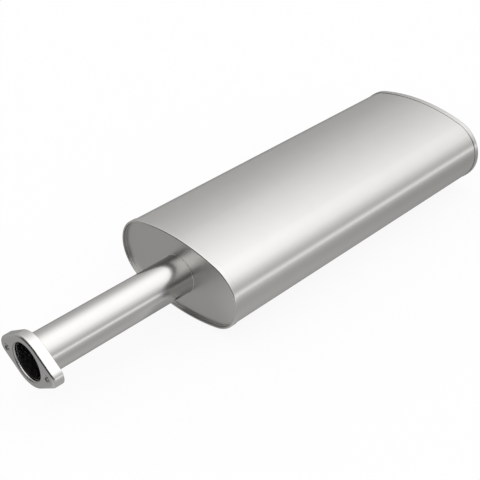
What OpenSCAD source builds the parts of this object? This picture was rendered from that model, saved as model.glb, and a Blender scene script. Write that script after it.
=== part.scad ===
// Oval exhaust muffler with a long flanged inlet pipe.
// The origin is the centre of the flange's face, on the axis of the pipes.
// Gas flows along +Y, +Z is up, and the muffler rests on the underside of its oval body.

/* [Body] */
// Width of the shell, outside
shell_w = 228.2; // [216:0.2:250]
// Height of the shell, outside
shell_h = 120.4; // [114:0.2:132]
// Radius of the shell's two side arcs
side_r = 51.8; // [46:0.2:54]
// Length of the body over its two rims
body_len = 550.5; // [540:0.5:640]
// Thickness of the outer shell's sheet
shell_t = 1.2; // [0.8:0.1:1.6]
// Thickness of the second sheet, wrapped inside the shell
wrap_t = 0.8; // [0.5:0.1:1.2]
// Gap between two sheets that lie on each other
sheet_gap = 0.05; // [0.03:0.01:0.1]
// Height of the body's centre above the axis of the pipes
body_rise = 2; // [0:0.5:6]

/* [End caps] */
// Thickness of the caps' sheet
cap_t = 1; // [0.8:0.1:1.4]
// Depth of a cap's flat disc below its rim
cap_recess = 6; // [5:0.5:12]
// Length of the lip that each cap folds over the shell
lip_len = 9; // [6:0.5:14]
// Radius of the rim's two outer edges
rim_r = 1.4; // [0.8:0.1:1.5]
// Chamfer at the rim's inner edge
rim_chamfer = 0.7; // [0.3:0.1:0.9]
// Radius of the bend at the bottom of a cap's recess
recess_r = 1.6; // [1:0.1:2.5]
// Length of the collars that caps and baffles form round their tubes
collar_len = 10; // [6:0.5:14]
// Gap between a tube and the collar round it
collar_gap = 0.1; // [0.05:0.01:0.2]
// Inner radius of the bend from a flat disc into its collar
collar_r = 0.6; // [0.4:0.1:2]

/* [Pipes] */
// Outside diameter of the inlet pipe and the outlet neck
pipe_d = 57.15; // [50.8:0.05:60.3]
// Wall of the inlet pipe and the outlet neck
pipe_t = 1.6; // [1.2:0.1:2]
// Length from the flange's face to the front rim of the body
inlet_reach = 248; // [200:1:300]
// Length that the outlet neck stands out past the rear rim
outlet_reach = 25; // [15:1:60]
// Length of both pipes inside the body, from the caps' discs
pipe_inside = 44; // [40:1:60]

/* [Flange] */
// Thickness of the flange
flange_t = 15.5; // [12:0.5:20]
// Distance between the centres of the two tapped holes
bolt_pitch = 82.5; // [80:0.5:90]
// Diameter of the two tapped holes at the thread's crest
tapped_d = 8.9; // [7:0.1:10]
// Chamfer at the mouths of the tapped holes
tapped_chamfer = 0.4; // [0.2:0.1:0.5]
// Radius of the flange's two ends
flange_end_r = 14.8; // [13:0.1:17]
// Radius of the flange's middle
flange_mid_r = 38; // [35:0.5:42]
// Radius of the flange's front edge
flange_edge_r = 3.2; // [1.5:0.1:4]
// Radius of the flange's back edge
flange_back_r = 0.6; // [0.3:0.1:1.5]
// Depth of the pipe's end below the flange's face
pipe_set_back = 5; // [4:0.5:8]
// Gap between the flange's bore and the pipe
flange_gap = 0.1; // [0.05:0.01:0.2]
// Height of the weld ring between the flange's bore and the pipe's end
weld_h = 2.5; // [1:0.5:3.5]

/* [Tubes] */
// Wall of the perforated tubes and the transfer tubes
tube_t = 1.2; // [0.9:0.1:1.5]
// Gap between a perforated tube and the pipe that its end slips over
slip_gap = 0.1; // [0.05:0.01:0.2]
// Length of a perforated tube over the end of its pipe
slip_len = 20; // [12:1:24]
// Length that a tube's open mouth stands past its baffle
mouth_len = 32; // [20:1:40]
// Outside diameter of the two transfer tubes
transfer_d = 41.3; // [34:0.1:44]
// Distance of the transfer tubes from the middle of the body
transfer_x = 68; // [62:0.5:74]
// Length of a transfer tube to each side of the centre baffle
transfer_reach = 30; // [16:1:38]
// Diameter of the perforations
perf_d = 6; // [4:0.5:7]
// Distance between rings of perforations
perf_pitch = 15; // [12:0.5:20]
// Number of perforations in a ring
perf_count = 8; // [6:2:8]

/* [Chambers] */
// Distance from the front cap's disc to the front baffle
front_chamber = 150; // [120:1:170]
// Distance from the rear baffle to the rear cap's disc
rear_chamber = 150; // [120:1:170]
// Thickness of the baffles' sheet
baffle_t = 1; // [0.8:0.1:1.4]
// Length of the edge that each baffle turns against the wrap
baffle_edge = 12; // [8:0.5:16]
// Radius of the bend at a baffle's edge
baffle_r = 2.5; // [1.5:0.1:4]
// Gap between a baffle's edge and the wrap
baffle_gap = 0.1; // [0.05:0.01:0.2]

/* [Packing] */
// Thickness of the wire mesh wound on a perforated tube
mesh_t = 1; // [0.6:0.1:2]
// Gap between a perforated tube and the mesh
mesh_gap = 0.1; // [0.05:0.01:0.2]
// Gap between the glass wool and the metal round it
wool_gap = 0.2; // [0.1:0.05:0.4]

/* [Hidden] */

// The oval outline is two side arcs joined by two flat arcs that they touch
half_w = shell_w / 2;
half_h = shell_h / 2;
side_x = half_w - side_r;
flat_r = (half_w * half_w + half_h * half_h - 2 * half_w * side_r) / (2 * (half_h - side_r));
flat_y = flat_r - half_h;
join_angle = atan2(flat_y, side_x);

// Surfaces of the sheets, counted outwards from the outside of the shell
lip_in = sheet_gap;
lip_out = lip_in + cap_t;
wall_out = -shell_t - sheet_gap;
wall_in = wall_out - cap_t;
wrap_out = -shell_t - sheet_gap;
wrap_in = wrap_out - wrap_t;
edge_out = wrap_in - baffle_gap;
edge_in = edge_out - baffle_t;

// Places along the flow
front_y = inlet_reach;
rear_y = front_y + body_len;
disc_back = cap_recess + cap_t;
front_disc_y = front_y + disc_back;
rear_disc_y = rear_y - disc_back;
front_baffle_y = front_disc_y + front_chamber;
rear_baffle_y = rear_disc_y - rear_chamber;
centre_baffle_y = (front_baffle_y + rear_baffle_y) / 2;
shell_y = front_y + cap_t + sheet_gap;
shell_len = body_len - 2 * (cap_t + sheet_gap);
wrap_y = front_disc_y + sheet_gap;
wrap_len = rear_disc_y - front_disc_y - 2 * sheet_gap;

// Radii of the round pieces
pipe_r = pipe_d / 2;
pipe_bore_r = pipe_r - pipe_t;
tube_r = pipe_r + slip_gap + tube_t;
mesh_r = tube_r + mesh_gap + mesh_t;
transfer_r = transfer_d / 2;
flange_bore_r = pipe_r + flange_gap;
cap_hole_r = pipe_r + collar_gap;
cap_bend_r = cap_hole_r + cap_t + collar_r;
wool_bore_r = max(mesh_r, cap_bend_r) + wool_gap;
// Outside of the weld ring, and the width of its two blunt edges
weld_out_r = flange_bore_r - flange_gap / 2;
weld_edge = 0.4;
// Direction from a flange hole's centre to the straight side's end
side_angle = acos((flange_mid_r - flange_end_r) / (bolt_pitch / 2));

// Ends of the pipes and tubes
pipe_in_y = front_disc_y + pipe_inside;
pipe_out_y = rear_disc_y - pipe_inside;
neck_end_y = rear_y + outlet_reach;
inlet_tube_y = pipe_in_y - slip_len;
inlet_mouth_y = front_baffle_y + mouth_len;
outlet_tube_y = pipe_out_y + slip_len;
outlet_mouth_y = rear_baffle_y - mouth_len;

// How far a cutter stands past the surface that it leaves
clear = 1;
// Gap between the end of a mesh sleeve and what stands before it
end_gap = 0.5;
// Turn of the perforations about the tube
perf_turn = 11;
// Margin kept between the perforations and what holds the tube
perf_margin = 8;
// Steps round a bend, and along a side arc and a flat arc of the oval
bend_steps = 3;
side_steps = 22;
flat_steps = 14;
// Steps along the flange's end arcs, its middle's arcs and its round edge
end_steps = 12;
mid_steps = 16;
edge_steps = 5;
// Facets of round pieces, of the oval's flat arcs, of bends and tapped holes, and of perforations
$fn = 96;
flat_fn = 360;
small_fn = 48;
perf_fn = 16;

// Turns the local Z axis of its children to +Y, at a place along the flow
module facing_rear(y, rise = 0) translate([0, y, rise]) rotate([-90, 0, 0]) children();

// Turns the local Z axis of its children to -Y
module facing_front(y, rise = 0) translate([0, y, rise]) rotate([90, 0, 0]) children();

// Outline of the oval, grown by off
module oval(off = 0) {
  join_x = side_x + (side_r + off) * cos(join_angle);
  for (side = [-1, 1]) translate([side * side_x, 0]) circle(r = side_r + off);
  intersection() {
    translate([0, -flat_y]) circle(r = flat_r + off, $fn = flat_fn);
    translate([0, flat_y]) circle(r = flat_r + off, $fn = flat_fn);
    square([2 * join_x, 2 * (half_h + abs(off) + clear)], center = true);
  }
}

// Points along an arc, without its last one
function arc(x, y, r, from, to, steps) = [
  for (k = [0:steps - 1]) let (turn = from + (to - from) * k / steps)
    [x + r * cos(turn), y + r * sin(turn)]
];

// Points of the oval's outline, grown by off
function oval_points(off) = concat(
  arc(side_x, 0, side_r + off, -join_angle, join_angle, side_steps),
  arc(0, -flat_y, flat_r + off, join_angle, 180 - join_angle, flat_steps),
  arc(-side_x, 0, side_r + off, 180 - join_angle, 180 + join_angle, side_steps),
  arc(0, flat_y, flat_r + off, 180 + join_angle, 360 - join_angle, flat_steps)
);

// A solid through outlines of equally many points, from the lowest level to the highest
module stack(outlines, levels) {
  around = len(outlines[0]);
  top = (len(levels) - 1) * around;
  points = [for (k = [0:len(levels) - 1]) for (p = outlines[k]) [p[0], p[1], levels[k]]];
  walls = [
    for (level = [0:len(levels) - 2]) for (k = [0:around - 1])
      let (low = level * around, next = (k + 1) % around)
      [low + k, low + around + k, low + around + next, low + next]
  ];
  floor_face = [for (k = [0:around - 1]) k];
  top_face = [for (k = [0:around - 1]) top + around - 1 - k];
  polyhedron(points = points, faces = concat(walls, [floor_face], [top_face]), convexity = 2);
}

// A solid through oval sections, each given as [off, z]
module oval_stack(sections) stack(
  [for (section = sections) oval_points(section[0])], [for (section = sections) section[1]]);

// A plate of the oval's outline with one round edge, at z = 0
module round_plate(off, high, r) oval_stack(concat(
  [for (step = [0:bend_steps]) let (turn = 90 * step / bend_steps)
    [off - r * (1 - sin(turn)), r * (1 - cos(turn))]],
  [[off, high]]
));

// The same with the round edge at the top
module round_top_plate(off, high, r) oval_stack(concat(
  [[off, 0]],
  [for (step = [0:bend_steps]) let (turn = 90 * step / bend_steps)
    [off - r * (1 - cos(turn)), high - r * (1 - sin(turn))]]
));

// A mouth that narrows by r over the height r
module chamfer_plate(off, r) oval_stack([[off + r + clear, -clear], [off, r]]);

// A tube along Z
module tube(r, wall, length) difference() {
  cylinder(r = r, h = length);
  translate([0, 0, -clear]) cylinder(r = r - wall, h = length + 2 * clear);
}

// A collar round a hole of the given radius, drawn from a disc's near face, with a rounded mouth
module collar(r, t, length) rotate_extrude() {
  translate([r, collar_r + t]) square([t, length - collar_r - t]);
  intersection() {
    difference() {
      translate([r + t + collar_r, t + collar_r]) circle(r = collar_r + t, $fn = small_fn);
      translate([r + t + collar_r, t + collar_r]) circle(r = collar_r, $fn = small_fn);
    }
    translate([r, 0]) square([collar_r + t, collar_r + t]);
  }
}

// Pressed end cap, with its rim at z = 0 and its disc below the rim
module end_cap() {
  difference() {
    union() {
      difference() {
        round_plate(lip_out, lip_len, rim_r);
        translate([0, 0, cap_t]) linear_extrude(height = lip_len) oval(lip_in);
      }
      round_top_plate(wall_out, disc_back, recess_r + cap_t);
    }
    translate([0, 0, -clear]) round_top_plate(wall_in, cap_recess + clear, recess_r);
    chamfer_plate(wall_in, rim_chamfer);
    translate([0, -body_rise, -clear]) cylinder(r = cap_bend_r, h = disc_back + 2 * clear);
  }
  translate([0, -body_rise, cap_recess]) collar(cap_hole_r, cap_t, collar_len);
}

module front_cap() color("#9c9a97") facing_rear(front_y, body_rise) mirror([0, 1, 0]) end_cap();

module rear_cap() color("#9c9a97") facing_front(rear_y, body_rise) end_cap();

// Sheet rolled to the oval, its outside at out from the shell's
module sleeve_sheet(out, t, length) linear_extrude(height = length) difference() {
  oval(out);
  oval(out - t);
}

module shell() color("#c9c8c5") facing_rear(shell_y, body_rise) sleeve_sheet(0, shell_t, shell_len);

module inner_wrap() color("#b4b2ae") facing_rear(wrap_y, body_rise)
  sleeve_sheet(wrap_out, wrap_t, wrap_len);

// Pressed baffle with its flat face at z = 0, its edge turned to +Z and one collar for each hole
module baffle(holes) {
  difference() {
    round_plate(edge_out, baffle_edge, baffle_r);
    translate([0, 0, baffle_t]) round_plate(edge_in, baffle_edge, baffle_r - baffle_t);
    for (hole = holes) translate([hole[0], hole[1], -clear])
      cylinder(r = hole[2] + baffle_t + collar_r, h = baffle_edge);
  }
  for (hole = holes) translate([hole[0], hole[1], 0]) collar(hole[2], baffle_t, collar_len);
}

tube_hole = [0, body_rise, tube_r + collar_gap];
transfer_holes = [for (side = [-1, 1]) [side * transfer_x, 0, transfer_r + collar_gap]];

module front_baffle() color("#a9a7a3") facing_rear(front_baffle_y, body_rise) baffle([tube_hole]);

module centre_baffle() color("#a9a7a3") facing_rear(centre_baffle_y, body_rise) baffle(transfer_holes);

module rear_baffle() color("#a9a7a3") facing_front(rear_baffle_y, body_rise)
  mirror([0, 1, 0]) baffle([tube_hole]);

// Points of the flange's outline, grown by off: two end arcs, the middle's arcs, and straight sides
function flange_points(off) = concat(
  arc(bolt_pitch / 2, 0, flange_end_r + off, -side_angle, side_angle, end_steps),
  [[bolt_pitch / 2, 0] + (flange_end_r + off) * [cos(side_angle), sin(side_angle)]],
  arc(0, 0, flange_mid_r + off, side_angle, 180 - side_angle, mid_steps),
  [(flange_mid_r + off) * [-cos(side_angle), sin(side_angle)]],
  arc(-bolt_pitch / 2, 0, flange_end_r + off, 180 - side_angle, 180 + side_angle, end_steps),
  [[-bolt_pitch / 2, 0] - (flange_end_r + off) * [cos(side_angle), sin(side_angle)]],
  arc(0, 0, flange_mid_r + off, 180 + side_angle, 360 - side_angle, mid_steps),
  [(flange_mid_r + off) * [cos(side_angle), -sin(side_angle)]]
);

// Solid flange with its front edge round and its back edge eased
module flange_blank() {
  sections = concat(
    [for (step = [0:edge_steps]) let (turn = 90 * step / edge_steps)
      [-flange_edge_r * (1 - sin(turn)), flange_edge_r * (1 - cos(turn))]],
    [[0, flange_t - flange_back_r], [-flange_back_r, flange_t]]
  );
  stack([for (section = sections) flange_points(section[0])], [for (section = sections) section[1]]);
}

module inlet_flange() color("#a8a6a3") facing_rear(0) difference() {
  flange_blank();
  translate([0, 0, -clear]) cylinder(r = flange_bore_r, h = flange_t + 2 * clear);
  for (side = [-1, 1]) translate([side * bolt_pitch / 2, 0, 0]) {
    translate([0, 0, -clear]) cylinder(d = tapped_d, h = flange_t + 2 * clear, $fn = small_fn);
    cylinder(d1 = tapped_d + 2 * tapped_chamfer, d2 = tapped_d, h = tapped_chamfer, $fn = small_fn);
  }
}

// Fillet weld inside the flange's bore, laid on the pipe's end
module flange_weld() color("#8d8b88") facing_rear(pipe_set_back - weld_h) rotate_extrude()
  polygon([
    [weld_out_r, 0], [weld_out_r, weld_h], [pipe_bore_r, weld_h],
    [pipe_bore_r + weld_edge, weld_h - weld_edge], [weld_out_r - weld_edge, 0]
  ]);

module inlet_pipe() color("#d2d1ce") facing_rear(pipe_set_back)
  tube(pipe_r, pipe_t, pipe_in_y - pipe_set_back);

module outlet_neck() color("#c4c2be") facing_rear(pipe_out_y) tube(pipe_r, pipe_t, neck_end_y - pipe_out_y);

// Tube along Z with staggered rings of round holes, kept between z = first and z = last
module perforated_tube(length, first, last) {
  span = last - first - 2 * perf_margin;
  rings = floor(span / perf_pitch);
  start = first + perf_margin + (span - rings * perf_pitch) / 2;
  difference() {
    tube(tube_r, tube_t, length);
    for (ring = [0:rings]) translate([0, 0, start + ring * perf_pitch])
      for (k = [0:perf_count / 2 - 1]) rotate([0, 0, perf_turn + (k + (ring % 2) / 2) * 360 / perf_count])
        rotate([90, 0, 0]) cylinder(d = perf_d, h = 2 * (tube_r + clear), center = true, $fn = perf_fn);
  }
}

module inlet_tube() color("#bab8b4") facing_rear(inlet_tube_y)
  perforated_tube(inlet_mouth_y - inlet_tube_y, slip_len, front_baffle_y - inlet_tube_y);

module outlet_tube() color("#bab8b4") facing_front(outlet_tube_y)
  perforated_tube(outlet_tube_y - outlet_mouth_y, slip_len, outlet_tube_y - rear_baffle_y);

// Transfer tube through the centre baffle, on one side
module transfer_tube(side) color("#bab8b4") translate([side * transfer_x, 0, 0])
  facing_rear(centre_baffle_y - transfer_reach, body_rise) tube(transfer_r, tube_t, 2 * transfer_reach);

module left_transfer_tube() transfer_tube(-1);

module right_transfer_tube() transfer_tube(1);

// Wire mesh wound on a perforated tube, between the tube's end and its baffle
module mesh_sleeve(length) tube(mesh_r, mesh_t, length);

module inlet_mesh() color("#8f8d88") facing_rear(inlet_tube_y + end_gap)
  mesh_sleeve(front_baffle_y - inlet_tube_y - 2 * end_gap);

module outlet_mesh() color("#8f8d88") facing_front(outlet_tube_y - end_gap)
  mesh_sleeve(outlet_tube_y - rear_baffle_y - 2 * end_gap);

// Glass wool of a chamber, fitted round the wound tube
module packing(length) difference() {
  linear_extrude(height = length) oval(wrap_in - wool_gap);
  translate([0, -body_rise, -clear]) cylinder(r = wool_bore_r, h = length + 2 * clear);
}

module front_packing() color("#d8cfa8") facing_rear(front_disc_y + wool_gap, body_rise)
  mirror([0, 1, 0]) packing(front_chamber - 2 * wool_gap);

module rear_packing() color("#d8cfa8") facing_front(rear_disc_y - wool_gap, body_rise)
  packing(rear_chamber - 2 * wool_gap);

inlet_flange();
flange_weld();
inlet_pipe();
front_cap();
shell();
inner_wrap();
rear_cap();
outlet_neck();
front_baffle();
centre_baffle();
rear_baffle();
inlet_tube();
outlet_tube();
left_transfer_tube();
right_transfer_tube();
inlet_mesh();
outlet_mesh();
front_packing();
rear_packing();
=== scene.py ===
import math

import bmesh
import bpy
from mathutils import Matrix, Vector


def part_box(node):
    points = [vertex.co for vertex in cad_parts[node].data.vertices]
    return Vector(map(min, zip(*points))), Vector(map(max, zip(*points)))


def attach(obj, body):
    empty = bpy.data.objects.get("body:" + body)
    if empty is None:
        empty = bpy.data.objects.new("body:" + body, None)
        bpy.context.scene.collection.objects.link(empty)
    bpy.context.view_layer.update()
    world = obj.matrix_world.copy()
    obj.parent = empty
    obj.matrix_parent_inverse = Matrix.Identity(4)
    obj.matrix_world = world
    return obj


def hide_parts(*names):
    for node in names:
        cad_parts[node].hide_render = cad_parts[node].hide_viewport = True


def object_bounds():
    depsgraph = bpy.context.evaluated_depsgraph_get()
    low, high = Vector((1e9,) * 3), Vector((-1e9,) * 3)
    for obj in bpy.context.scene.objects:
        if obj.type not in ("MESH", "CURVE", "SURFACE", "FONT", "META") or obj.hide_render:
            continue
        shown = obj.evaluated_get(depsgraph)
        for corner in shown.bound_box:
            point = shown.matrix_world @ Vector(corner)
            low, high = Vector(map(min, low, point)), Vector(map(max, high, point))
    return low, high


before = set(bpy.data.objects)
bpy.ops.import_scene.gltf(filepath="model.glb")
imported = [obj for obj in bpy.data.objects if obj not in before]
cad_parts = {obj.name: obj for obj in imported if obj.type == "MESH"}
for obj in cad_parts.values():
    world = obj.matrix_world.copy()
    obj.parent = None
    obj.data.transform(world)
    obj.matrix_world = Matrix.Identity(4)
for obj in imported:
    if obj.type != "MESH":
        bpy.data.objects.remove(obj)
bpy.context.view_layer.update()
cadLow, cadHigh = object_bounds()
scene = bpy.context.scene
mm = 0.001
print("frame loaded:", len(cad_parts), "nodes")


# Camera, as the photograph was taken
cameraSetup = {
    "azimuth": 44.674,
    "elevation": 35.209,
    "roll": 0.038,
    "distance": 1.397888,
    "lookAt": (0.042422, 0.327732, 0.039866),
    "focalPixels": 1028.441,  # on a frame 480 pixels wide
    "framePixels": 480,
    "sensor": 36,
    "clip": (0.05, 60),
}


def placeCamera(setup):
    lens = bpy.data.cameras.new("photoCamera")
    lens.sensor_width = setup["sensor"]
    lens.lens = lens.sensor_width * setup["focalPixels"] / setup["framePixels"]
    lens.clip_start, lens.clip_end = setup["clip"]
    camera = bpy.data.objects.new("photoCamera", lens)
    scene.collection.objects.link(camera)
    turn, rise = math.radians(setup["azimuth"]), math.radians(setup["elevation"])
    back = Vector((math.sin(turn) * math.cos(rise), -math.cos(turn) * math.cos(rise), math.sin(rise)))
    right = Vector((math.cos(turn), math.sin(turn), 0))
    up = back.cross(right)
    roll = math.radians(setup["roll"])
    across = right * math.cos(roll) + up * math.sin(roll)
    upwards = up * math.cos(roll) - right * math.sin(roll)
    aim = Matrix((across, upwards, back)).transposed().to_4x4()
    camera.matrix_world = Matrix.Translation(Vector(setup["lookAt"]) + back * setup["distance"]) @ aim
    scene.camera = camera


placeCamera(cameraSetup)
scene.view_settings.view_transform = "Standard"


# Shader wiring
class Signal:  # a shader socket that takes part in Python expressions
    def __init__(self, wiring, socket):
        self.wiring, self.socket = wiring, socket

    def __add__(self, other):
        return self.wiring.maths("ADD", self, other)

    def __radd__(self, other):
        return self.wiring.maths("ADD", other, self)

    def __sub__(self, other):
        return self.wiring.maths("SUBTRACT", self, other)

    def __rsub__(self, other):
        return self.wiring.maths("SUBTRACT", other, self)

    def __mul__(self, other):
        return self.wiring.maths("MULTIPLY", self, other)

    def __rmul__(self, other):
        return self.wiring.maths("MULTIPLY", other, self)

    def __truediv__(self, other):
        return self.wiring.maths("DIVIDE", self, other)

    def __rtruediv__(self, other):
        return self.wiring.maths("DIVIDE", other, self)


class Wiring:  # adds nodes to one node tree
    def __init__(self, tree):
        self.tree = tree
        tree.nodes.clear()

    def node(self, kind, settings=None, inputs=None, output=0):
        made = self.tree.nodes.new(kind)
        for name, value in (settings or {}).items():
            if name == "stops":
                self.setStops(made.color_ramp, value)
            else:
                setattr(made, name, value)
        for name, value in (inputs or {}).items():
            if isinstance(value, Signal):
                self.tree.links.new(value.socket, made.inputs[name])
            else:
                made.inputs[name].default_value = value
        return Signal(self, made.outputs[output]) if len(made.outputs) else made

    def setStops(self, ramp, stops):
        while len(ramp.elements) > 1:
            ramp.elements.remove(ramp.elements[-1])
        ramp.elements[0].position = stops[0][0]
        for place, _ in stops[1:]:
            ramp.elements.new(place)
        for element, (_, shade) in zip(ramp.elements, stops):
            element.color = (shade, shade, shade, 1)

    def maths(self, operation, first, second=None):
        values = {0: first} if second is None else {0: first, 1: second}
        return self.node("ShaderNodeMath", {"operation": operation}, values)

    def ramp(self, place, stops):
        return self.node("ShaderNodeValToRGB", {"stops": stops}, {0: place})

    def mix(self, share, first, second):  # sockets 6 and 7 and output 2 are the node's colours
        return self.node("ShaderNodeMix", {"data_type": "RGBA"}, {0: share, 6: first, 7: second}, output=2)

    def place(self, stretch=(1, 1, 1)):  # object coordinates, with a pattern squeezed along an axis
        spot = self.node("ShaderNodeTexCoord", output="Object")
        return self.node("ShaderNodeMapping", {}, {"Vector": spot, "Scale": stretch})

    def noise(self, place, size, detail=3.0, rough=0.5):  # size is the pattern's grain in metres
        return self.node("ShaderNodeTexNoise", {}, {
            "Vector": place, "Scale": 1 / size, "Detail": detail, "Roughness": rough,
        })

    def axes(self, output):  # the three parts of a texture coordinate
        spot = self.node("ShaderNodeTexCoord", output=output)
        parts = self.node("ShaderNodeSeparateXYZ", {}, {0: spot}).socket.node
        return [Signal(self, parts.outputs[axis]) for axis in "XYZ"]

    def ease(self, value, span, start, stop):  # glides from start to stop while value crosses the span
        return self.node("ShaderNodeMapRange", {"interpolation_type": "SMOOTHSTEP"}, {
            "Value": value, "From Min": span[0], "From Max": span[1], "To Min": start, "To Max": stop,
        })


def shaded(colour, share):
    return (colour[0] * share, colour[1] * share, colour[2] * share, 1)


def blank(name):
    material = bpy.data.materials.new(name)
    material.use_nodes = True
    return material, Wiring(material.node_tree)


def steel(name, look):
    # satin steel: long fine grain, soft mottling, a straw tint from heat and a little waviness in the sheet
    material, wiring = blank(name)
    fine = wiring.noise(wiring.place(look["grainStretch"]), look["grainSize"], detail=4.0, rough=0.6)
    broad = wiring.noise(wiring.place(), look["mottleSize"], detail=2.0)
    wave = wiring.noise(wiring.place(look["waveStretch"]), look["waveSize"], detail=1.0, rough=0.4)
    tone = look["colour"]
    mottled = wiring.mix(broad, shaded(tone, 1 - look["mottle"]), shaded(tone, 1 + look["mottle"]))
    if look["tintShare"]:
        mottled = wiring.mix(broad * look["tintShare"], mottled, look["tint"])
    streaked = wiring.mix(fine * look["grainTone"], mottled, shaded(tone, look["grainShade"]))
    roughness = look["roughness"] + (fine - 0.5) * look["grainRoughness"]
    roughness = roughness + (broad - 0.5) * look["mottleRoughness"]
    height = fine * look["grainHeight"] + wave * look["waveHeight"]
    bump = wiring.node("ShaderNodeBump", {}, {"Strength": 1.0, "Distance": 1.0, "Height": height})
    surface = wiring.node("ShaderNodeBsdfPrincipled", {}, {
        "Base Color": streaked, "Metallic": 1.0, "Roughness": roughness, "Specular Tint": look["edgeTint"],
        "Normal": bump,
    })
    wiring.node("ShaderNodeOutputMaterial", {}, {"Surface": surface})
    return material


steelLook = {  # sizes and heights in metres
    "colour": (0.575, 0.569, 0.557),
    "roughness": 0.22,
    "grainStretch": (1, 0.02, 1),  # grain runs along the body
    "grainSize": 0.0004,
    "grainTone": 0.05,
    "grainShade": 0.6,
    "grainRoughness": 0.06,
    "grainHeight": 0.0000015,
    "mottleSize": 0.03,
    "mottle": 0.02,
    "mottleRoughness": 0.03,
    "waveStretch": (1, 0.3, 1),
    "waveSize": 0.06,
    "waveHeight": 0.00002,
    "edgeTint": (0.7, 0.695, 0.685, 1),  # how the steel mirrors at a grazing look
    "tint": (0.5, 0.4, 0.27, 1),
    "tintShare": 0.0,
}
shellSteel = steel("satinShell", steelLook)
flatLook = {**steelLook, "waveHeight": 0.0}  # thick or pressed steel, without the sheet's waviness
capSteel = steel("pressedCap", {
    **flatLook,
    "colour": (0.555, 0.55, 0.538),
    "roughness": 0.33,
    "grainStretch": (1, 1, 0.05),
})
pipeSteel = steel("drawnPipe", {
    **flatLook,
    "colour": (0.575, 0.57, 0.558),
    "roughness": 0.2,
})
flangeSteel = steel("machinedFlange", {
    **flatLook,
    "colour": (0.63, 0.625, 0.613),
    "grainStretch": (1, 1, 1),
    "grainSize": 0.0008,
    "grainHeight": 0.000004,
})
weldSteel = steel("weldBead", {
    **flatLook,
    "colour": (0.57, 0.56, 0.545),
    "roughness": 0.24,
    "grainStretch": (1, 1, 1),
    "grainSize": 0.0015,
    "grainHeight": 0.00002,
})
wrapSteel = steel("rolledWrap", {
    **steelLook,
    "colour": (0.53, 0.524, 0.512),
    "roughness": 0.32,
    "grainStretch": (0.02, 1, 0.02),
    "tintShare": 0.25,
})
baffleSteel = steel("pressedBaffle", {
    **flatLook,
    "colour": (0.54, 0.534, 0.52),
    "roughness": 0.36,
    "grainStretch": (0.03, 1, 1),
    "mottle": 0.05,
    "tintShare": 0.4,
})
tubeSteel = steel("perforatedTube", {
    **flatLook,
    "colour": (0.55, 0.543, 0.525),
    "roughness": 0.3,
    "grainTone": 0.1,
    "mottle": 0.06,
    "tintShare": 0.6,
})


def wovenWire(name, look):
    # plain weave wound on a tube: wires along it and wires round it pass over and under each other; the low
    # places between the wires are painted near black as painted shade
    material, wiring = blank(name)
    x, y, z = wiring.axes("Object")
    turn = wiring.maths("ARCTAN2", z, x)
    lengthways = wiring.maths("SINE", turn * (look["wires"] / 2))
    crossways = wiring.maths("SINE", y * (math.pi / look["pitch"]))
    along, across = [wiring.maths("ABSOLUTE", wave) for wave in (lengthways, crossways)]
    over = lengthways * crossways * look["crimp"]
    height = wiring.maths("MAXIMUM", along * (1 + over), across * (1 - over))
    stain = wiring.noise(wiring.place(), look["stainSize"], rough=0.6)
    wire = wiring.mix(stain, look["colour"], look["stain"])
    # painted shade: the low places between the wires take the near-black gap colour
    shade = wiring.mix(wiring.ease(height, look["gapShadeEdge"], 0.0, 1.0), look["gap"], wire)
    bump = wiring.node("ShaderNodeBump", {}, {"Strength": 1.0, "Distance": look["depth"], "Height": height})
    surface = wiring.node("ShaderNodeBsdfPrincipled", {}, {
        "Base Color": shade, "Metallic": 1.0, "Roughness": look["roughness"] + stain * look["stainRoughness"],
        "Normal": bump,
    })
    wiring.node("ShaderNodeOutputMaterial", {}, {"Surface": surface})
    return material


def glassWool(name, look):
    # matted fibres that lie every way, over a soft lumpy mat that the heat has browned in places; the fibres'
    # low places are painted darker as painted shade
    material, wiring = blank(name)
    grains = [wiring.noise(wiring.place(lay), look["fibreSize"], rough=0.6) for lay in look["fibreLays"]]
    fibres = (grains[0] + grains[1] + grains[2]) / 3
    lumps = wiring.noise(wiring.place(), look["lumpSize"], rough=0.55)
    # painted shade: where the fibres lie low they take the darker deep colour
    woolAndHollowShade = wiring.mix(wiring.ease(fibres, look["hollowShadeEdge"], 0.0, 1.0), look["deep"], look["colour"])
    browned = wiring.mix(wiring.ease(lumps, look["scorchEdge"], 0.0, look["scorch"]), woolAndHollowShade, look["scorched"])
    height = fibres * look["fibreHeight"] + lumps * look["lumpHeight"]
    bump = wiring.node("ShaderNodeBump", {}, {"Strength": 1.0, "Distance": 1.0, "Height": height})
    surface = wiring.node("ShaderNodeBsdfPrincipled", {}, {
        "Base Color": browned, "Roughness": look["roughness"], "Sheen Weight": look["sheen"], "Normal": bump,
    })
    wiring.node("ShaderNodeOutputMaterial", {}, {"Surface": surface})
    return material


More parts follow.
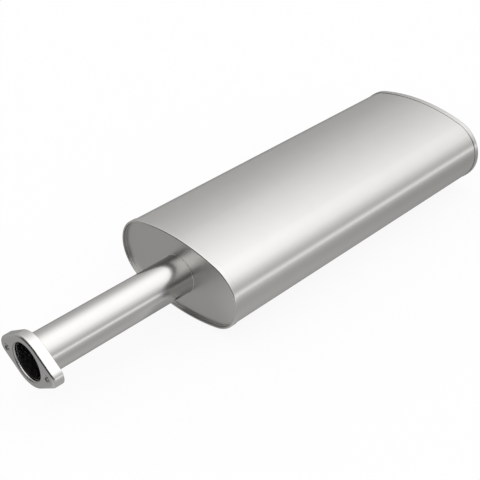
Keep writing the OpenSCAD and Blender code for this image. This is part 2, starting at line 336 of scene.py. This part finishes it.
meshWire = wovenWire("woundMesh", {
    "wires": 128,  # along the tube, an even number
    "pitch": 0.0015,
    "crimp": 0.35,
    "depth": 0.0004,
    "colour": (0.5, 0.49, 0.47, 1),
    "stain": (0.42, 0.36, 0.28, 1),
    "stainSize": 0.02,
    # painted shade: the near-black colour of the gaps between the wires
    "gap": (0.05, 0.048, 0.045, 1),
    "gapShadeEdge": (0.35, 1.0),  # heights between which the painted gap shade turns into wire
    "roughness": 0.3,
    "stainRoughness": 0.15,
})
packingWool = glassWool("packedWool", {
    "colour": (0.86, 0.8, 0.58, 1),
    # painted shade: the darker colour given to the fibres' low places
    "deep": (0.56, 0.48, 0.28, 1),
    "scorched": (0.36, 0.27, 0.16, 1),
    "scorch": 0.35,
    "hollowShadeEdge": (0.38, 0.62),
    "scorchEdge": (0.5, 0.75),
    "roughness": 0.92,
    "sheen": 0.25,
    "fibreLays": ((1, 0.05, 0.8), (0.05, 1, 0.4), (0.5, 0.3, 0.05)),  # three ways that the fibres lie
    "fibreSize": 0.0012,
    "lumpSize": 0.035,
    "fibreHeight": 0.0012,
    "lumpHeight": 0.006,
})
print("finishes mixed")


# Modelling
rimTolerance = 0.01 * mm


def clearSelection():
    bpy.ops.object.select_all(action="DESELECT")


def selectRim(piece, y=None):
    # the open edges, or only those at one place along the flow
    bpy.ops.mesh.select_all(action="DESELECT")
    mesh = bmesh.from_edit_mesh(piece.data)
    for edge in mesh.edges:
        edge.select = edge.is_boundary and (y is None or abs(edge.verts[0].co.y - y) < rimTolerance)
    bmesh.update_edit_mesh(piece.data)


def turnFacesOut():
    bpy.ops.mesh.select_all(action="SELECT")
    bpy.ops.mesh.normals_make_consistent(inside=False)


def capEnds(piece, *places):
    # closes the open ends with flat faces, at the places given or all at once
    bpy.ops.object.mode_set(mode="EDIT")
    for y in places or [None]:
        selectRim(piece, y)
        bpy.ops.mesh.edge_face_add()
    turnFacesOut()
    bpy.ops.object.mode_set(mode="OBJECT")


def sweep(name, rings, closed=True):
    # one loop of points after another, each extruded from the one before
    clearSelection()
    bpy.ops.mesh.primitive_circle_add(vertices=len(rings[0]), radius=1)
    piece = bpy.context.object
    piece.name = name
    for vertex, spot in zip(piece.data.vertices, rings[0]):
        vertex.co = spot
    bpy.ops.object.mode_set(mode="EDIT")
    bpy.ops.mesh.select_mode(type="EDGE")
    bpy.ops.mesh.select_all(action="SELECT")
    for ring in rings[1:]:
        bpy.ops.mesh.extrude_region_move()
        mesh = bmesh.from_edit_mesh(piece.data)
        for vertex, spot in zip([v for v in mesh.verts if v.select], ring):
            vertex.co = spot
        bmesh.update_edit_mesh(piece.data)
    if closed:
        selectRim(piece)
        bpy.ops.mesh.bridge_edge_loops()
    turnFacesOut()
    bpy.ops.object.mode_set(mode="OBJECT")
    return piece


def smooth(piece, angle):  # edges that turn by more than the angle stay sharp
    clearSelection()
    bpy.context.view_layer.objects.active = piece
    piece.select_set(True)
    bpy.ops.object.shade_smooth_by_angle(angle=math.radians(angle), keep_sharp_edges=True)
    weights = piece.modifiers.new("evenNormals", "WEIGHTED_NORMAL")
    weights.keep_sharp = True
    bpy.ops.object.modifier_apply(modifier=weights.name)


def dress(piece, material, slotName, *nodes):
    piece.data.materials.clear()
    piece.data.materials.append(material)
    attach(piece, "root")
    if nodes:
        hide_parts(*nodes)
    print("made", piece.name, len(piece.data.polygons), "faces")


def bend(centre, radius, start, stop, steps):
    # points of a round bend in a section, given as (offset, place along the flow)
    turns = [math.radians(start + (stop - start) * k / steps) for k in range(steps + 1)]
    return [(centre[0] + radius * math.cos(t), centre[1] + radius * math.sin(t)) for t in turns]


# Oval body, measured across the shell's outside
oval = {
    "width": 228.2 * mm,
    "height": 120.4 * mm,
    "sideRadius": 51.8 * mm,
    "rise": 2 * mm,  # centre above the pipes' axis
    "sideSteps": 72,
    "flatSteps": 56,
}


def ovalNormals():
    # each point of the outline as its arc's centre, its radius and its direction
    halfWidth, halfHeight, sideRadius = oval["width"] / 2, oval["height"] / 2, oval["sideRadius"]
    sideX = halfWidth - sideRadius
    flatRadius = (halfWidth**2 + halfHeight**2 - 2 * halfWidth * sideRadius) / (2 * (halfHeight - sideRadius))
    flatDrop = flatRadius - halfHeight
    join = math.atan2(flatDrop, sideX)
    arcs = [
        (sideX, 0, sideRadius, -join, join, oval["sideSteps"]),
        (0, -flatDrop, flatRadius, join, math.pi - join, oval["flatSteps"]),
        (-sideX, 0, sideRadius, math.pi - join, math.pi + join, oval["sideSteps"]),
        (0, flatDrop, flatRadius, math.pi + join, 2 * math.pi - join, oval["flatSteps"]),
    ]
    return [
        (x, z, radius, start + (stop - start) * k / steps)
        for x, z, radius, start, stop, steps in arcs
        for k in range(steps)
    ]


ovalPoints = ovalNormals()


def ovalRing(offset, y):
    return [
        (x + (radius + offset) * math.cos(t), y, z + oval["rise"] + (radius + offset) * math.sin(t))
        for x, z, radius, t in ovalPoints
    ]


def holeRing(radius, y):  # round loop that matches the oval point for point
    turns = [math.atan2(z, x) for x, _, z in ovalRing(0, 0)]
    return [(radius * math.cos(t), y, radius * math.sin(t)) for t in turns]


def roundRing(radius, y, count):
    turns = [2 * math.pi * k / count for k in range(count)]
    return [(radius * math.cos(t), y, radius * math.sin(t)) for t in turns]


# Shell: rolled sheet under the caps' lips
shellSheet = {"thickness": 1.2 * mm, "edge": 0.25 * mm, "smoothAngle": 32}


def buildShell():
    low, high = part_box("shell")
    t, e = shellSheet["thickness"], shellSheet["edge"]
    section = [(-e, low.y), (0, low.y + e), (0, high.y - e), (-e, high.y),
               (-t + e, high.y), (-t, high.y - e), (-t, low.y + e), (-t + e, low.y)]
    shell = sweep("shellBody", [ovalRing(offset, y) for offset, y in section])
    smooth(shell, shellSheet["smoothAngle"])
    dress(shell, shellSteel, "shell", "shell")


# End caps: the sheet folds over the shell's edge, and its disc lies below the rim
capSheet = {
    "thickness": 0.8 * mm,
    "gap": 0.05 * mm,
    "recess": 5 * mm,
    "lip": 9 * mm,
    "lipEdge": 0.3 * mm,
    "rimRadius": 2.0 * mm,
    "innerRimRadius": 0.5 * mm,
    "discBend": 0.8 * mm,
    "collarGap": 0.03 * mm,
    "collarBend": 0.2 * mm,
    "collarFillet": 0.7 * mm,  # where the disc runs up to the pipe
    "collarLength": 10 * mm,
    "bendSteps": 8,
    "smoothAngle": 40,
}


def capSection(pipeRadius):
    # from the lip's free edge, round the rim, down the wall, along the disc, and back behind it all
    s = capSheet
    t, steps = s["thickness"], s["bendSteps"]
    shell = shellSheet["thickness"]
    outer, lipInside = s["gap"] + t, s["gap"]
    wall, wallBack = -shell - s["gap"] - t, -shell - s["gap"]
    hole = pipeRadius + s["collarGap"]
    rim, inner, disc, collar = s["rimRadius"], s["innerRimRadius"], s["discBend"], s["collarBend"] + t
    front = [(outer - s["lipEdge"], s["lip"]), (outer, s["lip"] - s["lipEdge"])]
    front += bend((outer - rim, rim), rim, 0, -90, steps)
    front += bend((wall + inner, inner), inner, -90, -180, steps)
    front += bend((wall - disc, s["recess"] - disc), disc, 0, 90, steps)
    fillet = s["collarFillet"]
    faceHole = bend((hole + fillet, s["recess"] - fillet), fillet, 90, 180, steps)
    tail = [(hole, s["recess"] + s["collarLength"]), (hole + t, s["recess"] + s["collarLength"])]
    backHole = bend((hole + collar, s["recess"] + collar), s["collarBend"], 180, 270, steps)
    back = bend((wall - disc, s["recess"] - disc), disc + t, 90, 0, steps)
    back += [(wallBack, t + s["gap"]), (lipInside, t + s["gap"]), (lipInside, s["lip"] - s["lipEdge"])]
    back += [(lipInside + s["lipEdge"], s["lip"])]
    return front, faceHole + tail + backHole, back


def buildCap(name, node, rimY, along):
    pipeLow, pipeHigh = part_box("outlet_neck")
    outerOval, hole, innerOval = capSection((pipeHigh.x - pipeLow.x) / 2)
    rings = [ovalRing(offset, rimY + along * y) for offset, y in outerOval]
    rings += [holeRing(radius, rimY + along * y) for radius, y in hole]
    rings += [ovalRing(offset, rimY + along * y) for offset, y in innerOval]
    cap = sweep(name, rings)
    smooth(cap, capSheet["smoothAngle"])
    dress(cap, capSteel, "end_cap", node)
    cap.data.materials.append(shellSteel)
    # the lip, the rim's outer bend and the fillet round the pipe are smoother than the pressed face
    bendRings = capSheet["bendSteps"] + 1
    polished = (2 + bendRings) * len(ovalPoints)
    filletStart = len(outerOval) * len(ovalPoints)
    filletEnd = filletStart + bendRings * len(ovalPoints)
    for face in cap.data.polygons:
        onFillet = min(face.vertices) >= filletStart and max(face.vertices) < filletEnd
        face.material_index = int(max(face.vertices) < polished or onFillet)


# Pipes: straight tubes with eased ends
tubeSize = {
    "radius": 57.15 / 2 * mm,
    "wall": 1.6 * mm,
    "edge": 0.3 * mm,
    "sides": 160,
    "smoothAngle": 32,
}


def buildTube(name, node, material):
    low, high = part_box(node)
    radius, t, e = tubeSize["radius"], tubeSize["wall"], tubeSize["edge"]
    inside = radius - t
    section = [(radius - e, low.y), (radius, low.y + e), (radius, high.y - e), (radius - e, high.y),
               (inside + e, high.y), (inside, high.y - e), (inside, low.y + e), (inside + e, low.y)]
    tube = sweep(name, [roundRing(r, y, tubeSize["sides"]) for r, y in section])
    smooth(tube, tubeSize["smoothAngle"])
    dress(tube, material, "pipe", node)


# Flange: thick plate, rounded at the front, drilled for the pipe and tapped for two bolts
flangePlate = {
    "endRadius": 14.8 * mm,
    "middleRadius": 38 * mm,
    "boltPitch": 82.5 * mm,
    "frontEdge": 4.6 * mm,
    "backEdge": 0.6 * mm,
    "boreGap": 0.1 * mm,
    "boreEdge": 0.15 * mm,
    "threadRadius": 5.0 * mm,
    "crestRadius": 4.45 * mm,
    "threadPitch": 1.5 * mm,
    "threadFoot": 0.1 * mm,  # how deep the ridge's foot sits in the hole's wall
    "threadHalf": 0.47,  # half of the ridge's foot, as a share of the pitch
    "threadFlat": 0.07,  # half of its flat crest
    "threadSteps": 48,
    "threadSmoothAngle": 75,
    "chamfer": 0.7 * mm,
    "drillPast": 2 * mm,  # how far the drills reach past the plate
    "drillSteps": 96,
    "edgeSteps": 10,
    "endSteps": 40,
    "middleSteps": 48,
    "smoothAngle": 35,
}


def flangeRing(offset, y):
    p = flangePlate
    reach = p["boltPitch"] / 2
    side = math.acos((p["middleRadius"] - p["endRadius"]) / reach)
    arcs = [
        (reach, p["endRadius"], -side, side, p["endSteps"]),
        (0, p["middleRadius"], side, math.pi - side, p["middleSteps"]),
        (-reach, p["endRadius"], math.pi - side, math.pi + side, p["endSteps"]),
        (0, p["middleRadius"], math.pi + side, 2 * math.pi - side, p["middleSteps"]),
    ]
    return [
        (x + (r + offset) * math.cos(t), y, (r + offset) * math.sin(t))
        for x, r, start, stop, steps in arcs
        for t in [start + (stop - start) * k / steps for k in range(steps + 1)]
    ]


def cutter(section, x):
    # turned solid used to drill the plate, at x
    rings = [
        [(x + px, py, pz) for px, py, pz in roundRing(r, y, flangePlate["drillSteps"])]
        for r, y in section
    ]
    tool = sweep("drill", rings, closed=False)
    capEnds(tool)
    return tool


def drill(plate, tool):
    clearSelection()
    bpy.context.view_layer.objects.active = plate
    cut = plate.modifiers.new("hole", "BOOLEAN")
    cut.operation, cut.solver, cut.object = "DIFFERENCE", "EXACT", tool
    bpy.ops.object.modifier_apply(modifier=cut.name)
    bpy.data.objects.remove(tool)


def buildFlange():
    p = flangePlate
    low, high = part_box("inlet_flange")
    thick, front, rear = high.y - low.y, p["frontEdge"], p["backEdge"]
    section = [(-front + front * math.cos(math.radians(t)), front - front * math.sin(math.radians(t)))
               for t in [90 - 90 * k / p["edgeSteps"] for k in range(p["edgeSteps"] + 1)]]
    section += [(-rear + rear * math.sin(math.radians(t)), thick - rear + rear * math.cos(math.radians(t)))
                for t in [90, 60, 30, 0]]
    plate = sweep("flangePlate", [flangeRing(offset, low.y + y) for offset, y in section], closed=False)
    capEnds(plate, low.y, high.y)
    bore = tubeSize["radius"] + p["boreGap"]
    ease, past = p["boreEdge"], p["drillPast"]
    drill(plate, cutter([(bore + ease + past, low.y - past), (bore, low.y + ease), (bore, high.y + past)], 0))
    for side in (-1, 1):
        x = side * p["boltPitch"] / 2
        mouth = p["threadRadius"] + p["chamfer"]
        section = [(mouth + past, low.y - past), (p["threadRadius"], low.y + p["chamfer"]),
                   (p["threadRadius"], high.y - p["chamfer"]), (mouth + past, high.y + past)]
        drill(plate, cutter(section, x))
    smooth(plate, p["smoothAngle"])
    dress(plate, flangeSteel, "flange", "inlet_flange")
    for side, name in ((-1, "leftThread"), (1, "rightThread")):
        buildThread(name, side * p["boltPitch"] / 2, low.y + p["chamfer"], high.y - p["chamfer"])


def buildThread(name, x, start, stop):
    # a ridge with a triangular section, wound up the hole by the Screw modifier
    p = flangePlate
    clearSelection()
    bpy.ops.mesh.primitive_circle_add(vertices=4, radius=1, location=(x, start, 0))
    thread = bpy.context.object
    thread.name = name
    root, crest, pitch = p["threadRadius"] + p["threadFoot"], p["crestRadius"], p["threadPitch"]
    half, flat = pitch * p["threadHalf"], pitch * p["threadFlat"]
    corners = [(root, -half), (crest, -flat), (crest, flat), (root, half)]
    for vertex, (r, y) in zip(thread.data.vertices, corners):
        vertex.co = (r, y + half, 0)
    wind = thread.modifiers.new("wind", "SCREW")
    turns = int((stop - start) / pitch) - 1
    wind.axis, wind.iterations, wind.screw_offset = "Y", turns, pitch
    wind.steps = wind.render_steps = p["threadSteps"]
    bpy.ops.object.modifier_apply(modifier=wind.name)
    bpy.ops.object.transform_apply(location=True, rotation=True, scale=True)
    capEnds(thread)
    smooth(thread, p["threadSmoothAngle"])
    dress(thread, flangeSteel, "flange")


# Weld inside the flange's bore: a round bead with faint ripples, a little fuller in front than its solid
weldBead = {
    "front": 1.7 * mm,  # how far the bead stands in front of the solid
    "inner": 0.6 * mm,  # where its face meets the pipe's bore, behind the solid's front
    "steps": 12,
    "ripple": 0.07 * mm,
    "ripples": 60,
    "count": 360,
    "smoothAngle": 50,
}


def buildWeld():
    w = weldBead
    low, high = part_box("flange_weld")
    outer = tubeSize["radius"] + flangePlate["boreGap"] / 2
    inner = tubeSize["radius"] - tubeSize["wall"]
    front, back = low.y - w["front"], low.y + w["inner"]
    turns = [math.pi / 2 * k / w["steps"] for k in range(w["steps"] + 1)]
    section = [(outer - (outer - inner) * math.sin(t), back - (back - front) * math.cos(t)) for t in turns]
    section += [(inner, high.y), (outer, high.y)]
    rings = []
    for number, (radius, y) in enumerate(section):
        depth = w["ripple"] if 1 <= number < w["steps"] else 0
        loop = roundRing(1, y, w["count"])
        reaches = [radius + depth * math.cos(w["ripples"] * math.atan2(z, x)) for x, _, z in loop]
        rings.append([(x * reach, y, z * reach) for (x, _, z), reach in zip(loop, reaches)])
    weld = sweep("innerWeld", rings)
    smooth(weld, w["smoothAngle"])
    dress(weld, weldSteel, "weld", "flange_weld")


buildShell()
buildCap("frontCap", "front_cap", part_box("front_cap")[0].y, 1)
buildCap("rearCap", "rear_cap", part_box("rear_cap")[1].y, -1)
buildTube("inletPipe", "inlet_pipe", pipeSteel)
buildTube("outletNeck", "outlet_neck", pipeSteel)
buildFlange()
buildWeld()


# Inner pieces keep their solids and get their own finishes
innerFinish = {
    "inner_wrap": wrapSteel,
    "front_baffle": baffleSteel,
    "centre_baffle": baffleSteel,
    "rear_baffle": baffleSteel,
    "inlet_tube": tubeSteel,
    "outlet_tube": tubeSteel,
    "left_transfer_tube": tubeSteel,
    "right_transfer_tube": tubeSteel,
    "inlet_mesh": meshWire,
    "outlet_mesh": meshWire,
    "front_packing": packingWool,
    "rear_packing": packingWool,
}
for node, finish in innerFinish.items():
    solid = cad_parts[node]
    solid.data.materials.clear()
    solid.data.materials.append(finish)
print("inner pieces finished")


# Studio: pale floor and white surroundings for the camera, a banded floor and dome for the steel to mirror
studio = {
    "floorSize": 24.0,
    "floorColour": (0.93, 0.93, 0.93, 1),
    "speckColour": (0.95, 0.95, 0.95, 1),
    "speckSize": 0.4,
    "floorShadow": 0.1,  # how strongly the floor shows the object's shadow
    "floorPeak": 1.55,
    # brightness of the floor as the steel shows it, over its span from left (0) to right (1)
    "floorSpan": (-1, 1.5),  # metres
    "floorStops": [
        (0.08, 0.44), (0.28, 0.33), (0.399, 0.315), (0.411, 0.44), (0.422, 0.42), (0.436, 0.374),
        (0.452, 0.361), (0.48, 0.387), (0.54, 0.49), (0.62, 0.53), (0.68, 0.6), (0.73, 0.95), (0.86, 1.0),
    ],
    "bodyStep": 0.08,  # the floor's shades lie this much further out beside the body than beside the pipe
    "bodyStepSpan": (0.18, 0.24),
    "frontFloor": 0.3,  # the share left far in front of the flange
    "frontFloorSpan": (-0.45, -0.1),
    "rearFloor": 0.86,  # the share left behind the body
    "rearFloorSpan": (0.35, 1.0),
    "mattLight": 1.0,
    "domePeak": 1.83,
    # brightness of the dome over the object, from the horizon on the right (0) over the top to the left (1)
    "domeStops": [
        (0.0, 0.82), (0.012, 0.78), (0.04, 0.4), (0.085, 0.38), (0.14, 0.5), (0.28, 0.87),
        (0.42, 0.97), (0.56, 0.96), (0.66, 0.765), (0.78, 0.485), (0.9, 0.375), (1.0, 0.39),
    ],
    # the spans below are limits of a mirrored ray's direction, x to the right, y along the flow and z up
    "frontShade": 0.12,  # low down in front, the dome fades to this share
    "leftShade": 0.8,  # and far to the left it fades to this one only
    "leftSpan": (-0.88, -0.76),
    "leftLean": 0.5,  # how much a ray that leans to the left counts as lower
    "fadeSpan": (-0.32, -0.04),  # of y and z together
    "aheadShade": 0.15,  # straight ahead of the flange the dome is down to this share
    "aheadSpan": (-0.82, -0.7),
    "farShade": 0.55,  # straight behind it loses this share
    "farSpan": (0.84, 0.93),
    "rearShade": 0.2,  # and the high part towards the back loses this one
    "rearSpan": (0.5, 0.76),
    "rearHeight": (0.2, 0.6),
    "rearSide": (-0.6, -0.35),
}


def lightRays(wiring):
    path = wiring.node("ShaderNodeLightPath").socket.node
    seen, glossy, through = [Signal(wiring, path.outputs[name])
                             for name in ("Is Camera Ray", "Is Glossy Ray", "Is Transmission Ray")]
    return seen, glossy + through


def lightStudio():
    world = bpy.data.worlds.new("studio")
    scene.world = world
    world.use_nodes = True
    wiring = Wiring(world.node_tree)
    x, y, z = wiring.axes("Generated")
    around = wiring.maths("ARCTAN2", z, x) / math.pi
    dome = wiring.ramp(around, studio["domeStops"]) * studio["domePeak"]
    shade = wiring.ease(x, studio["leftSpan"], studio["leftShade"], studio["frontShade"])
    rise = y + z + wiring.maths("MINIMUM", x, 0.0) * studio["leftLean"]
    fade = shade + (1 - shade) * wiring.ease(rise, studio["fadeSpan"], 0.0, 1.0)
    fade = fade * wiring.ease(y, studio["aheadSpan"], studio["aheadShade"], 1.0)
    dim = wiring.ease(y, studio["rearSpan"], 0.0, studio["rearShade"])
    dim = dim * wiring.ease(z, studio["rearHeight"], 0.0, 1.0) * wiring.ease(x, studio["rearSide"], 0.0, 1.0)
    far = wiring.ease(y, studio["farSpan"], 0.0, studio["farShade"])
    seen, mirrored = lightRays(wiring)
    strength = mirrored * dome * fade * (1 - dim) * (1 - far)
    strength = seen + strength + (1 - seen - mirrored) * studio["mattLight"]
    light = wiring.node("ShaderNodeBackground", {}, {"Color": (1, 1, 1, 1), "Strength": strength})
    wiring.node("ShaderNodeOutputWorld", {}, {"Surface": light})


def layFloor():
    clearSelection()
    bpy.ops.mesh.primitive_plane_add(size=studio["floorSize"], location=(0, 0, cadLow.z))
    floor = bpy.context.object
    floor.name = "floor"
    material, wiring = blank("paleFloor")
    speck = wiring.noise(wiring.place(), studio["speckSize"])
    colour = wiring.mix(speck, studio["floorColour"], studio["speckColour"])
    matt = wiring.node("ShaderNodeBsdfDiffuse", {}, {"Color": colour})
    seen, mirrored = lightRays(wiring)
    x, y, _ = wiring.axes("Object")
    left, right = studio["floorSpan"]
    out = (x - wiring.ease(y, studio["bodyStepSpan"], 0.0, studio["bodyStep"]) - left) / (right - left)
    shine = wiring.ramp(out, studio["floorStops"]) * studio["floorPeak"]
    shine = shine * wiring.ease(y, studio["frontFloorSpan"], studio["frontFloor"], 1.0)
    shine = shine * wiring.ease(y, studio["rearFloorSpan"], 1.0, studio["rearFloor"])
    glow = wiring.node("ShaderNodeEmission", {}, {"Strength": seen + mirrored * shine})
    share = mirrored + seen * (1 - studio["floorShadow"])
    surface = wiring.node("ShaderNodeMixShader", {}, {0: share, 1: matt, 2: glow})
    wiring.node("ShaderNodeOutputMaterial", {}, {"Surface": surface})
    floor.data.materials.append(material)


layFloor()
lightStudio()
print("studio lit")

bpy.context.view_layer.update()
